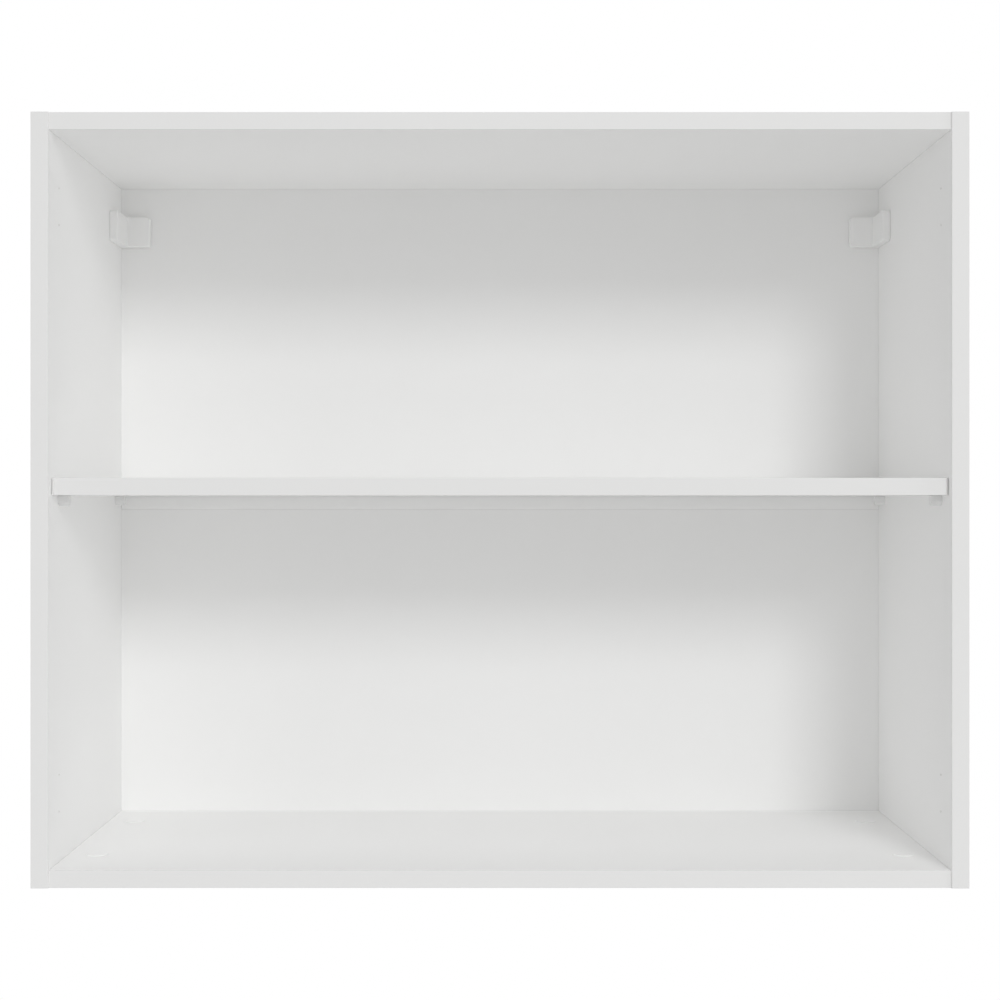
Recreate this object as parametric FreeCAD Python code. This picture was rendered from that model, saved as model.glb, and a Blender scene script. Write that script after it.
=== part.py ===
import FreeCAD, Part
import os

# Hanging wall cabinet: two sides, a top and a bottom of coated chipboard, joined by cam locks and
# dowels, a two-piece hardboard back that slides in grooves, one loose shelf on four pegs, and two
# covered steel hangers in the upper back corners.
#
# Frame, in millimetres: X runs across the cabinet with 0 in the middle, Y runs to the wall with
# the wall at 0 and the front at -depth, and Z runs up with 0 at the underside.

# ---- driving dimensions --------------------------------------------------------------------

# carcass
width = 800.0
height = 662.0
depth = 298.0
board = 15.0  # thickness of the sides, top, bottom and shelf
front_setback = 2.0  # top and bottom stand this far behind the sides' front edges
front_band = 1.0  # thickness of the front edge bands
end_band = 0.5  # thickness of the bands on the sides' top and bottom ends
band_round = 0.5  # rounding along the bands' front corners

# rows of fittings, on the 32 mm system
row_inset = 37.0  # from the front or rear edge to the first hole row
row_pitch = 32.0

# back panel, its grooves and the H-section strip
back_thick = 3.0
back_recess = 8.5  # from the wall plane to the back panel's rear face
groove_depth = 6.0
groove_play = 0.1  # each side of the back panel in its groove
groove_end_play = 0.5  # between the back panel's edge and the groove's bottom
strip_width = 18.4
strip_flange = 0.9
strip_web = 1.2
strip_end_gap = 0.3

# shelf
shelf_setback = 9.0  # from the sides' front edges
shelf_side_gap = 0.3
shelf_back_gap = 2.5
shelf_corner = 3.2  # radius of the front corners, seen from above
shelf_drop = 4.0  # height of the shelf's underside above the pegs' centres

# shelf pegs
peg_hole_radius = 2.5
peg_hole_depth = 9.5
peg_reach = 9.6  # out of the side panel
peg_radius = 5.0
peg_pin_length = 8.5
peg_round = 0.6  # round the free end
peg_top_round = 1.2  # along the rest's two top edges

# hinge-plate pilot holes
hinge_hole_radius = 1.0
hinge_hole_depth = 10.0
hinge_inset = 75.0  # from the cabinet's end to the middle of a pair

# cam locks, bolts and caps
cam_inset = 25.5  # from the panel's end to the cam's axis
cam_bore_radius = 7.5
cam_play = 0.1
cam_recess = 0.3  # cam's top below the board's face
cam_floor = 2.5  # board left under the cam bore
cam_floor_gap = 0.2
cam_cavity_radius = 4.2
cam_throat_start = -32.0  # the slot that the bolt's neck passes, in degrees from the bolt
cam_throat_sweep = 137.0
drive_radius = 2.5
drive_depth = 2.2
drive_slot_length = 8.0
drive_slot_width = 1.4
cap_radius = 10.0
cap_thick = 1.0
cap_round = 0.4
bolt_bore_radius = 3.5
bolt_hole_radius = 2.5
bolt_collar_radius = 3.4
bolt_neck_radius = 1.9
bolt_head_radius = 3.2
bolt_head_front = 2.6  # head's face, this far before the cam's axis
bolt_head_past = 1.0  # head's end, this far past the cam's axis
bolt_neck_start = 0.5  # collar ends this far before the cam bore

# wooden dowels
dowel_hole_radius = 4.0
dowel_in_panel = 19.0
dowel_chamfer = 1.0

# shared by the blind holes in the sides
hole_floor = 3.5  # board left behind a bolt or dowel hole
hole_end_gap = 0.5
pin_play = 0.05  # radial, round bolts, dowels, pins and screws

# hanger brackets, their screws and covers
hanger_drop = 45.0  # from the top panel's underside to the hanger's middle
bracket_plate = 2.5
bracket_height = 24.0
bracket_side_leg = 50.5
bracket_back_leg = 27.5
bracket_bend = 3.5  # outer radius of the fold
bracket_corner = 3.0
wall_hole_inset = 16.0  # from the side panel's inner face
wall_hole_radius = 4.5
back_hole_play = 0.5  # back panel's hole, larger than the bracket's
screw_radius = 2.5
screw_hole_play = 0.25  # bracket's hole round the screw
screw_length = 12.0
screw_tip = 1.5
screw_head_radius = 4.5
screw_head = 2.5
screw_head_round = 1.2
screw_slot_length = 4.6
screw_slot_width = 1.1
screw_slot_depth = 1.4
wall_head_room = 6.0  # under the cover, for the wall screw's head
cover_wall = 1.5
cover_play = 1.5  # round the bracket and its screws
cover_gap = 0.3  # between the cover and the panels
cover_corner = 3.0  # corners of its two ends
cover_inner_corner = 0.6  # in the fold
cover_round = 1.0  # edges of its two faces
grip_gap = 0.3  # between the cover's grip ribs and the bracket
grip_start = 18.0  # from the back panel to the grip ribs
grip_length = 4.0

# ---- worked-out places ---------------------------------------------------------------------

outer = width / 2
inner = outer - board  # side panels' inner faces
front = -depth
middle = height / 2
ceiling = height - board  # top panel's underside
panel_front = front + front_setback
back_face = back_recess + back_thick  # from the wall plane to the back panel's front face
groove_near = back_face + groove_play
groove_far = back_recess - groove_play
peg_rows = (front + row_inset, -row_inset)
dowel_rows = peg_rows
cam_rows = (front + row_inset + row_pitch, -row_inset - row_pitch)
joint_heights = (board / 2, height - board / 2)
hinge_heights = [
    pair + side * row_pitch / 2
    for pair in (hinge_inset, height - hinge_inset)
    for side in (-1, 1)
]
bolt_hole_depth = board - hole_floor
dowel_bore_depth = dowel_in_panel + hole_end_gap
cam_bore_depth = board - cam_floor
cam_height = cam_bore_depth - cam_recess - cam_floor_gap
cam_x = inner - cam_inset
hanger_z = ceiling - hanger_drop
screw_rows = (-row_inset + row_pitch / 2, -row_inset - row_pitch / 2)
wall_hole_x = inner - wall_hole_inset
cover_side = bracket_plate + screw_head + cover_play + cover_wall
cover_back = bracket_plate + wall_head_room + cover_wall
cover_depth = bracket_side_leg + cover_play + cover_wall
cover_width = bracket_back_leg + cover_play + cover_wall
cover_height = bracket_height + 2 * (cover_play + cover_wall)
shelf_underside = middle + shelf_drop

# ---- helpers -------------------------------------------------------------------------------

X = FreeCAD.Vector(1, 0, 0)
Y = FreeCAD.Vector(0, 1, 0)
Z = FreeCAD.Vector(0, 0, 1)
ORIGIN = FreeCAD.Vector(0, 0, 0)


def at(x, y, z):
    """A point."""
    return FreeCAD.Vector(x, y, z)


def block(x, y, z):
    """A box, each side given as its lowest and highest value."""
    return Part.makeBox(x[1] - x[0], y[1] - y[0], z[1] - z[0], at(x[0], y[0], z[0]))


def rod(radius, start, direction, length):
    """A round bar that starts at a point and runs along a direction."""
    return Part.makeCylinder(radius, length, start, direction)


def group(solids):
    """Separate solids that share one node."""
    return Part.makeCompound(solids)


def mirrored(shape):
    """The same piece on the other side of the cabinet."""
    return shape.mirror(ORIGIN, X)


def rounded(shape, radius, wanted):
    """The shape with a fillet on each edge whose bounding box is wanted."""
    return shape.makeFillet(radius, [edge for edge in shape.Edges if wanted(edge.BoundBox)])


def near(value, target):
    """Whether a length is the target, within a modelling tolerance."""
    return abs(value - target) < 1e-4


def lies_at(low, high, target):
    """Whether an extent is flat and at the target."""
    return near(low, target) and near(high, target)


# ---- side panels ---------------------------------------------------------------------------


def side_panel():
    """The left side panel's board, with its groove and every hole in its inner face."""
    board_solid = block((-outer, -inner), (front + front_band, 0), (end_band, height - end_band))
    groove = block((-inner - groove_depth, -inner), (-groove_near, -groove_far), (0, height))
    drilled = [
        (cam_rows, joint_heights, bolt_hole_radius, bolt_hole_depth),
        (dowel_rows, joint_heights, dowel_hole_radius, bolt_hole_depth),
        (peg_rows, [middle], peg_hole_radius, peg_hole_depth),
        (peg_rows[:1], hinge_heights, hinge_hole_radius, hinge_hole_depth),
        (screw_rows, [hanger_z], screw_radius + pin_play, screw_length - bracket_plate + hole_end_gap),
    ]
    holes = [
        rod(radius, at(-inner, y, z), -X, hole_depth)
        for rows, heights, radius, hole_depth in drilled
        for y in rows
        for z in heights
    ]
    return board_solid.cut([groove] + holes)


def side_front_band():
    """The left side panel's front edge band, with its front corners rounded."""
    strip = block((-outer, -inner), (front, front + front_band), (0, height))
    return rounded(strip, band_round, lambda b: lies_at(b.YMin, b.YMax, front))


def side_end_bands():
    """The four thin bands on the sides' top and bottom ends."""
    bands = [
        block((-outer, -inner), (front + front_band, 0), (low, low + end_band))
        for low in (0, height - end_band)
    ]
    return group(bands + [mirrored(band) for band in bands])


# ---- top and bottom panels -----------------------------------------------------------------


def cross_panel(low, groove_low):
    """A top or bottom panel's board: cam bores in its upper face, bolt and dowel bores in its ends.

    low is its underside, and groove_low the lowest height of the groove for the back panel.
    """
    axis = low + board / 2
    cuts = [block((-inner, inner), (-groove_near, -groove_far), (groove_low, groove_low + groove_depth))]
    for side in (-1, 1):
        for y in cam_rows:
            cuts.append(rod(cam_bore_radius, at(side * cam_x, y, low + board), -Z, cam_bore_depth))
            cuts.append(rod(bolt_bore_radius, at(side * inner, y, axis), -side * X, cam_inset))
        for y in dowel_rows:
            cuts.append(rod(dowel_hole_radius, at(side * inner, y, axis), -side * X, dowel_bore_depth))
    panel = block((-inner, inner), (panel_front + front_band, 0), (low, low + board))
    return panel.cut(cuts)


def cross_front_band(low):
    """A top or bottom panel's front edge band."""
    strip = block((-inner, inner), (panel_front, panel_front + front_band), (low, low + board))
    return rounded(
        strip, band_round, lambda b: lies_at(b.YMin, b.YMax, panel_front) and b.XLength > board
    )


# ---- back ----------------------------------------------------------------------------------


def back_panel_piece(low, high):
    """One piece of the back between two heights."""
    reach = inner + groove_depth - groove_end_play
    return block((-reach, reach), (-back_face, -back_recess), (low, high))


def back_panel_upper():
    """The upper back piece, with a hole behind each hanger for the wall screw."""
    piece = back_panel_piece(
        middle + strip_web / 2 + groove_end_play, ceiling + groove_depth - groove_end_play
    )
    start = [at(side * wall_hole_x, -back_face, hanger_z) for side in (-1, 1)]
    return piece.cut([rod(wall_hole_radius + back_hole_play, p, Y, back_thick) for p in start])


def back_panel_lower():
    """The lower back piece."""
    return back_panel_piece(
        board - groove_depth + groove_end_play, middle - strip_web / 2 - groove_end_play
    )


def back_joint_strip():
    """The H-section strip that holds the two back pieces edge to edge."""
    across = (-inner + strip_end_gap, inner - strip_end_gap)
    tall = (middle - strip_width / 2, middle + strip_width / 2)
    front_flange = block(across, (-groove_near - strip_flange, -groove_near), tall)
    front_flange = rounded(
        front_flange,
        strip_flange / 2,
        lambda b: lies_at(b.YMin, b.YMax, -groove_near - strip_flange) and b.XLength > board,
    )
    rear_flange = block(across, (-groove_far, -groove_far + strip_flange), tall)
    web = block(
        across, (-groove_near, -groove_far), (middle - strip_web / 2, middle + strip_web / 2)
    )
    return front_flange.fuse([web, rear_flange])


# ---- shelf and its pegs --------------------------------------------------------------------


def shelf_pieces():
    """The shelf's board and its front edge band."""
    half = inner - shelf_side_gap
    shelf_front = front + shelf_setback
    rear = -back_face - shelf_back_gap
    whole = block((-half, half), (shelf_front, rear), (shelf_underside, shelf_underside + board))
    whole = rounded(
        whole, shelf_corner, lambda b: near(b.ZLength, board) and near(b.YMin, shelf_front)
    )
    reach = shelf_front + shelf_corner
    whole = rounded(
        whole, band_round, lambda b: near(b.ZLength, 0) and b.YMax < reach + band_round
    )
    ahead = block(
        (-outer, outer),
        (front, shelf_front + front_band),
        (shelf_underside - board, shelf_underside + 2 * board),
    )
    return whole.cut(ahead), whole.common(ahead)


def shelf_peg(y):
    """A left-hand shelf peg: a pin in the side panel and a flat-topped, round-bellied rest."""
    rest = rod(peg_radius, at(-inner, y, middle), X, peg_reach)
    rest = rest.common(
        block(
            (-inner, -inner + peg_reach),
            (y - peg_radius, y + peg_radius),
            (middle - peg_radius, middle),
        )
    )
    pad = block(
        (-inner, -inner + peg_reach), (y - peg_radius, y + peg_radius), (middle, shelf_underside)
    )
    body = rest.fuse(pad).removeSplitter()
    body = rounded(
        body,
        peg_top_round,
        lambda b: lies_at(b.ZMin, b.ZMax, shelf_underside) and near(b.XLength, peg_reach),
    )
    body = rounded(body, peg_round, lambda b: lies_at(b.XMin, b.XMax, -inner + peg_reach))
    pin = rod(peg_hole_radius - pin_play, at(-inner, y, middle), -X, peg_pin_length)
    return body.fuse(pin)


def shelf_supports():
    """The two left-hand shelf pegs."""
    return group([shelf_peg(y) for y in peg_rows])


# ---- cam joints ----------------------------------------------------------------------------


def cam_lock():
    """One cam, its top at the origin and its bolt coming in along +X."""
    lock = rod(cam_bore_radius - cam_play, ORIGIN, -Z, cam_height)
    drop = board / 2 - cam_recess
    head_half = bolt_head_radius + 0.4
    neck_half = bolt_neck_radius + 0.3
    cavity = rod(cam_cavity_radius, at(0, 0, -drop - head_half), Z, 2 * head_half)
    throat = Part.makeCylinder(
        2 * cam_bore_radius, 2 * neck_half, at(0, 0, -drop - neck_half), Z, cam_throat_sweep
    )
    throat.rotate(ORIGIN, Z, cam_throat_start)
    mouth = rod(head_half, at(0, 0, -drop), X, 2 * cam_bore_radius)
    mouth.rotate(ORIGIN, Z, 90)
    socket = rod(drive_radius, ORIGIN, -Z, drive_depth)
    long_half = drive_slot_length / 2
    thin_half = drive_slot_width / 2
    cross = [
        block((-long_half, long_half), (-thin_half, thin_half), (-drive_depth, 0)),
        block((-thin_half, thin_half), (-long_half, long_half), (-drive_depth, 0)),
    ]
    return lock.cut([cavity, throat, mouth, socket] + cross)


def cam_locks(low):
    """The four cams in a panel whose underside is at a height."""
    locks = []
    for side in (-1, 1):
        for y in cam_rows:
            lock = cam_lock()
            if side < 0:
                lock.rotate(ORIGIN, Z, 180)
            lock.translate(at(side * cam_x, y, low + board - cam_recess))
            locks.append(lock)
    return group(locks)


def cam_bolt(y, z):
    """One cam bolt, screwed into the left side panel."""
    collar_end = cam_inset - cam_bore_radius - bolt_neck_start
    head_start = cam_inset - bolt_head_front
    head_length = bolt_head_front + bolt_head_past
    thread_length = bolt_hole_depth - hole_end_gap
    thread = rod(bolt_hole_radius - pin_play, at(-inner, y, z), -X, thread_length)
    collar = rod(bolt_collar_radius, at(-inner, y, z), X, collar_end)
    neck = rod(bolt_neck_radius, at(-inner + collar_end, y, z), X, head_start - collar_end)
    head = rod(bolt_head_radius, at(-inner + head_start, y, z), X, head_length)
    return thread.fuse([collar, neck, head])


def cam_bolts():
    """The four cam bolts of the left side panel."""
    return group([cam_bolt(y, z) for z in joint_heights for y in cam_rows])


def cam_caps():
    """The caps over the bottom panel's cams: a thin disc with a spigot in the cam's socket."""
    caps = []
    for side in (-1, 1):
        for y in cam_rows:
            disc = rod(cap_radius, at(side * cam_x, y, board), Z, cap_thick)
            disc = rounded(disc, cap_round, lambda b: lies_at(b.ZMin, b.ZMax, board + cap_thick))
            spigot_length = cam_recess + drive_depth - hole_end_gap
            spigot = rod(drive_radius - cam_play, at(side * cam_x, y, board), -Z, spigot_length)
            caps.append(disc.fuse(spigot))
    return group(caps)


def wood_dowels():
    """The eight dowels between the side panels and the top and bottom."""
    in_side = bolt_hole_depth - hole_end_gap
    dowels = []
    for z in joint_heights:
        for y in dowel_rows:
            start = at(-inner - in_side, y, z)
            dowel = rod(dowel_hole_radius - pin_play, start, X, in_side + dowel_in_panel)
            dowel = dowel.makeChamfer(dowel_chamfer, [e for e in dowel.Edges if e.BoundBox.XLength < 1])
            dowels += [dowel, mirrored(dowel)]
    return group(dowels)


# ---- hangers -------------------------------------------------------------------------------


def hanger_bracket():
    """The left hanger bracket: an angle of folded steel, one leg on the side and one on the back."""
    tall = (hanger_z - bracket_height / 2, hanger_z + bracket_height / 2)
    side_end = -back_face - bracket_side_leg
    back_end = -inner + bracket_back_leg
    side_leg = block((-inner, -inner + bracket_plate), (side_end, -back_face), tall)
    back_leg = block((-inner, back_end), (-back_face - bracket_plate, -back_face), tall)
    angle = side_leg.fuse(back_leg).removeSplitter()
    angle = rounded(
        angle,
        bracket_bend,
        lambda b: lies_at(b.XMin, b.XMax, -inner) and lies_at(b.YMin, b.YMax, -back_face),
    )
    angle = rounded(
        angle,
        bracket_bend - bracket_plate,
        lambda b: lies_at(b.XMin, b.XMax, -inner + bracket_plate)
        and lies_at(b.YMin, b.YMax, -back_face - bracket_plate),
    )
    angle = rounded(
        angle,
        bracket_corner,
        lambda b: near(b.ZLength, 0)
        and (
            (lies_at(b.YMin, b.YMax, side_end) and near(b.XLength, bracket_plate))
            or (lies_at(b.XMin, b.XMax, back_end) and near(b.YLength, bracket_plate))
        ),
    )
    holes = [
        rod(screw_radius + screw_hole_play, at(-inner, y, hanger_z), X, bracket_plate)
        for y in screw_rows
    ]
    holes.append(rod(wall_hole_radius, at(-wall_hole_x, -back_face, hanger_z), -Y, bracket_plate))
    return angle.cut(holes)


def bracket_screw(y):
    """A pan-head screw through the left bracket into the side panel."""
    seat = -inner + bracket_plate
    head = rod(screw_head_radius, at(seat, y, hanger_z), X, screw_head)
    head = rounded(head, screw_head_round, lambda b: lies_at(b.XMin, b.XMax, seat + screw_head))
    shank = rod(screw_radius, at(seat, y, hanger_z), -X, screw_length)
    shank = shank.makeChamfer(
        screw_tip, [e for e in shank.Edges if lies_at(e.BoundBox.XMin, e.BoundBox.XMax, seat - screw_length)]
    )
    sunk = (seat + screw_head - screw_slot_depth, seat + screw_head)
    long_half = screw_slot_length / 2
    thin_half = screw_slot_width / 2
    cross = [
        block(sunk, (y - half_y, y + half_y), (hanger_z - half_z, hanger_z + half_z))
        for half_y, half_z in ((long_half, thin_half), (thin_half, long_half))
    ]
    return head.fuse(shank).cut(cross)


def bracket_screws():
    """The two screws of the left bracket."""
    return group([bracket_screw(y) for y in screw_rows])


def angle_shape(near_side, near_back, inset, half_height):
    """An L in plan that wraps the left bracket, its free faces set in from the cover's outside.

    near_side and near_back are how far it starts from the side panel and the back panel.
    """
    tall = (hanger_z - half_height, hanger_z + half_height)
    side_leg = block(
        (-inner + near_side, -inner + cover_side - inset),
        (-back_face - cover_depth + inset, -back_face - near_back),
        tall,
    )
    back_leg = block(
        (-inner + near_side, -inner + cover_width - inset),
        (-back_face - cover_back + inset, -back_face - near_back),
        tall,
    )
    return side_leg.fuse(back_leg).removeSplitter()


def hanger_cover():
    """The left hanger cover: a thin L-shaped cap that pulls off to the front."""
    half = cover_height / 2
    shell = angle_shape(cover_gap, cover_gap, 0, half)
    fold_x = -inner + cover_side
    fold_y = -back_face - cover_back
    tip_x = -inner + cover_width
    tip_y = -back_face - cover_depth

    shell = rounded(
        shell,
        cover_inner_corner,
        lambda b: lies_at(b.XMin, b.XMax, fold_x) and lies_at(b.YMin, b.YMax, fold_y),
    )
    shell = rounded(
        shell,
        cover_corner,
        lambda b: near(b.ZLength, 0) and (lies_at(b.XMin, b.XMax, tip_x) or lies_at(b.YMin, b.YMax, tip_y)),
    )
    in_fold = fold_x + cover_inner_corner, fold_y - cover_inner_corner
    shell = rounded(
        shell,
        cover_round,
        lambda b: (b.XMin > fold_x - 0.01 and b.YMax < fold_y + 0.01)
        and (b.XMax < in_fold[0] + 0.01 or b.YMin > in_fold[1] - 0.01),
    )
    hollow = angle_shape(0, 0, cover_wall, half - cover_wall)
    rib_height = cover_play - grip_gap
    rib_low = hanger_z + half - cover_wall - rib_height
    rib_y = (-back_face - grip_start - grip_length, -back_face - grip_start)
    rib_x = (-inner + cover_gap, -inner + cover_side - cover_wall / 2)
    upper_rib = block(rib_x, rib_y, (rib_low, rib_low + rib_height + cover_wall / 2))
    lower_rib = upper_rib.mirror(at(0, 0, hanger_z), Z)
    return shell.cut(hollow).fuse([upper_rib, lower_rib])


# ---- the whole cabinet ---------------------------------------------------------------------


def all_nodes():
    """Every node's shape by name."""
    shelf_board, shelf_front_band = shelf_pieces()
    nodes = {
        "side_end_bands": side_end_bands(),
        "top_panel": cross_panel(ceiling, ceiling),
        "bottom_panel": cross_panel(0, board - groove_depth),
        "top_front_band": cross_front_band(ceiling),
        "bottom_front_band": cross_front_band(0),
        "back_panel_upper": back_panel_upper(),
        "back_panel_lower": back_panel_lower(),
        "back_joint_strip": back_joint_strip(),
        "shelf_board": shelf_board,
        "shelf_front_band": shelf_front_band,
        "top_cam_locks": cam_locks(ceiling),
        "bottom_cam_locks": cam_locks(0),
        "bottom_cam_caps": cam_caps(),
        "wood_dowels": wood_dowels(),
    }
    handed = {
        "side_panel": side_panel(),
        "front_band": side_front_band(),
        "shelf_supports": shelf_supports(),
        "cam_bolts": cam_bolts(),
        "hanger_bracket": hanger_bracket(),
        "bracket_screws": bracket_screws(),
        "hanger_cover": hanger_cover(),
    }
    for name, shape in handed.items():
        nodes["left_" + name] = shape
        nodes["right_" + name] = mirrored(shape)
    return nodes


os.makedirs("parts", exist_ok=True)
for name, shape in sorted(all_nodes().items()):
    assert shape.isValid(), name + " is not a valid shape"
    shape.exportStep("parts/" + name + ".step")
    print(f"{name:24s} {len(shape.Solids)} solids, {shape.Volume / 1000:9.2f} cm3")
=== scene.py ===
# %% [markdown]
# # A white hanging wall cabinet
#
# The cabinet is an open box of coated chipboard with one loose shelf, a thin hardboard back in
# two pieces, and two small plastic covers that hide the steel hangers in its upper back corners.
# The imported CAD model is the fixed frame. It already has the right boards, brackets and cams, so
# most of this lesson is about their finishes, and about the small turned, moulded and extruded
# parts that are worth shaping again with finer detail than the CAD carries.

# %% Load the fixed frame
import math

import bpy
import numpy as np
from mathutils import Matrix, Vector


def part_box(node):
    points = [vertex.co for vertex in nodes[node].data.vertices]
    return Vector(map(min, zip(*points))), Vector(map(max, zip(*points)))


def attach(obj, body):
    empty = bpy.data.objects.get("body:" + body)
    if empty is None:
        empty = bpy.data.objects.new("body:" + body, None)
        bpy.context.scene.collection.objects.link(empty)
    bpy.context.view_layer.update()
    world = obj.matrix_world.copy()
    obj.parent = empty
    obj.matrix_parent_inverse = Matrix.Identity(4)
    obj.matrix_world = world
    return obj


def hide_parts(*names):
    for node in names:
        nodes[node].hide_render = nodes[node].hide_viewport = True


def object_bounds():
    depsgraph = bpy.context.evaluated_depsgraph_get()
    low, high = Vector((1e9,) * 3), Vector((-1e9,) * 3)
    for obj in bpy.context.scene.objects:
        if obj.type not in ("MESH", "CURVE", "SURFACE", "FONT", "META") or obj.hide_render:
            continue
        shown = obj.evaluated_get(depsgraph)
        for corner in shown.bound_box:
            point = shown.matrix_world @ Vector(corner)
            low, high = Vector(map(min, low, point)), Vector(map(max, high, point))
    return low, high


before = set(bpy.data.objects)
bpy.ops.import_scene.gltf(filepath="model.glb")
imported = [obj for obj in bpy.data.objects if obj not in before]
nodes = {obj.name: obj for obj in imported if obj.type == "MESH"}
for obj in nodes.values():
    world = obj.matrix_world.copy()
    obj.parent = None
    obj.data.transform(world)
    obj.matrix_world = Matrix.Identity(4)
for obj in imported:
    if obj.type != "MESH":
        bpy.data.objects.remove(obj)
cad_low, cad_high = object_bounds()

print("CAD box", [round(v, 4) for v in (*cad_low, *cad_high)], "with", len(nodes), "nodes")

# %% [markdown]
# ## Places that everything else is measured from
#
# A box of a CAD node gives its lowest and highest corners, in metres. Reading the places from
# the boxes, and not typing them in again, keeps each new piece where the CAD says. `MM` turns
# the small sizes of a workshop drawing into metres.

# %% Places from the CAD boxes
MM = 0.001


def span(node, axis):
    """Lowest and highest value of a CAD node along one axis, 0 for x, 1 for y, 2 for z."""
    low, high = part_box(node)
    return low[axis], high[axis]


outer, inner = span("right_side_panel", 0)[1], span("right_side_panel", 0)[0]
top_low, top_high = span("top_panel", 2)
bottom_low, bottom_high = span("bottom_panel", 2)
middle = (top_high + bottom_low) / 2
front = cad_low.y
back_front, back_rear = span("back_panel_lower", 1)
board = outer - inner
print(f"board {board / MM:.1f} mm, inside width {2 * inner / MM:.1f} mm")
print(f"middle height {middle / MM:.1f} mm")

# %% [markdown]
# ## A small language for finishes
#
# A finish is a graph of shader nodes. Drawn by hand, even `1 - a * b` takes two nodes and three
# links. Here a small class wraps a socket, so that Python arithmetic on it adds the Math nodes,
# and one method makes every other kind of node. The finishes then read like sentences.

# %% A socket that does arithmetic
class Value:
    """A node's output that can stand in Python arithmetic; each operator adds one Math node."""

    def __init__(self, finish, socket):
        self.finish, self.socket = finish, socket

    def math(self, operation, *terms):
        return self.finish.node("ShaderNodeMath", {"operation": operation}, dict(enumerate(terms)))

    def __add__(self, other):
        return self.math("ADD", self, other)

    def __sub__(self, other):
        return self.math("SUBTRACT", self, other)

    def __rsub__(self, other):
        return self.math("SUBTRACT", other, self)

    def __mul__(self, other):
        return self.math("MULTIPLY", self, other)

    def __abs__(self):
        return self.math("ABSOLUTE", self)

    __radd__, __rmul__ = __add__, __mul__

    def least(self, other):
        """The smaller of two values."""
        return self.math("MINIMUM", self, other)

    def beside(self, name):
        """Another output of the same node."""
        return Value(self.finish, self.socket.node.outputs[name])


# %% A finish under construction
class Finish:
    """A material whose nodes are added in Python; x, y and z are the piece's own coordinates."""

    def __init__(self, name):
        self.material = bpy.data.materials.new(name)
        self.material.use_nodes = True
        self.tree = self.material.node_tree
        self.tree.nodes.clear()
        self.place = self.node("ShaderNodeTexCoord", out="Object")
        self.x = self.node("ShaderNodeSeparateXYZ", {}, {0: self.place}, out="X")
        self.y, self.z = self.x.beside("Y"), self.x.beside("Z")

    def node(self, kind, settings=(), sockets=(), out=0):
        """One node: its settings first, then its sockets' values or links, and one output back."""
        made = self.tree.nodes.new(kind)
        for name, setting in dict(settings).items():
            if name == "stops":
                self.set_stops(made.color_ramp, setting)
            else:
                setattr(made, name, setting)
        for key, given in dict(sockets).items():
            if isinstance(given, Value):
                self.tree.links.new(given.socket, made.inputs[key])
            else:
                made.inputs[key].default_value = given
        return Value(self, made.outputs[out])

    @staticmethod
    def set_stops(ramp, stops):
        """A ramp's stops, each a position and a colour."""
        while len(ramp.elements) < len(stops):
            ramp.elements.new(0.5)
        for element, (position, colour) in zip(ramp.elements, stops):
            element.position, element.color = position, (*colour, 1)

    def step(self, value, low, high):
        """0 below low, 1 above high, and a smooth climb between them."""
        settings = {"interpolation_type": "SMOOTHSTEP"}
        sockets = {0: value, 1: low, 2: high, 3: 0.0, 4: 1.0}
        return self.node("ShaderNodeMapRange", settings, sockets)

    def ramp(self, value, stops):
        """A colour for each value, from a ramp's stops."""
        return self.node("ShaderNodeValToRGB", {"stops": stops}, {0: value})

    def mix(self, share, first, second):
        """Two colours mixed, the second by the given share."""
        first, second = ((*c, 1) if isinstance(c, tuple) else c for c in (first, second))
        settings = {"data_type": "RGBA"}
        return self.node("ShaderNodeMix", settings, {0: share, 6: first, 7: second}, out=2)

    def clouded(self, clouds, colour, darkest):
        """A colour that soft clouds darken a little, down to the given share of itself."""
        return self.mix(clouds, tuple(c * darkest for c in colour), colour)

    def wave(self, place, length):
        """A sine wave along a coordinate."""
        settings = {"operation": "SINE"}
        return self.node("ShaderNodeMath", settings, {0: place * (2 * math.pi / length)})

    def stretched(self, across, along_y, up):
        """The coordinates times a number on each axis, for patterns that are finer one way."""
        sockets = {0: self.place, 1: (across, along_y, up)}
        return self.node("ShaderNodeVectorMath", {"operation": "MULTIPLY"}, sockets)

    def noise(self, scale, detail=2.0, rough=0.5, where=None):
        """Soft random values about 0.5; the scale is in grains per metre, or per unit of where."""
        sockets = {"Vector": where or self.place, "Scale": scale}
        sockets.update({"Detail": detail, "Roughness": rough})
        return self.node("ShaderNodeTexNoise", {}, sockets)

    def cells(self, scale, where, out="Distance"):
        """Random cells: distance to the nearest seed, or a colour for each cell."""
        return self.node("ShaderNodeTexVoronoi", {}, {"Vector": where, "Scale": scale}, out=out)

    def bump(self, height, strength, reach, under=None):
        """A normal bent by a height; reach is the height of 1, in metres."""
        sockets = {"Height": height, "Strength": strength, "Distance": reach}
        if under is not None:
            sockets["Normal"] = under
        return self.node("ShaderNodeBump", {}, sockets)

    def done(self, colour, roughness, normal, metallic=0.0):
        """Puts the finish together and returns its material."""
        sockets = {"Base Color": colour, "Roughness": roughness}
        sockets.update({"Normal": normal, "Metallic": metallic})
        shader = self.node("ShaderNodeBsdfPrincipled", {}, sockets)
        output = self.tree.nodes.new("ShaderNodeOutputMaterial")
        self.tree.links.new(shader.socket, output.inputs["Surface"])
        print(f"{self.material.name}: {len(self.tree.nodes)} nodes")
        return self.material


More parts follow.
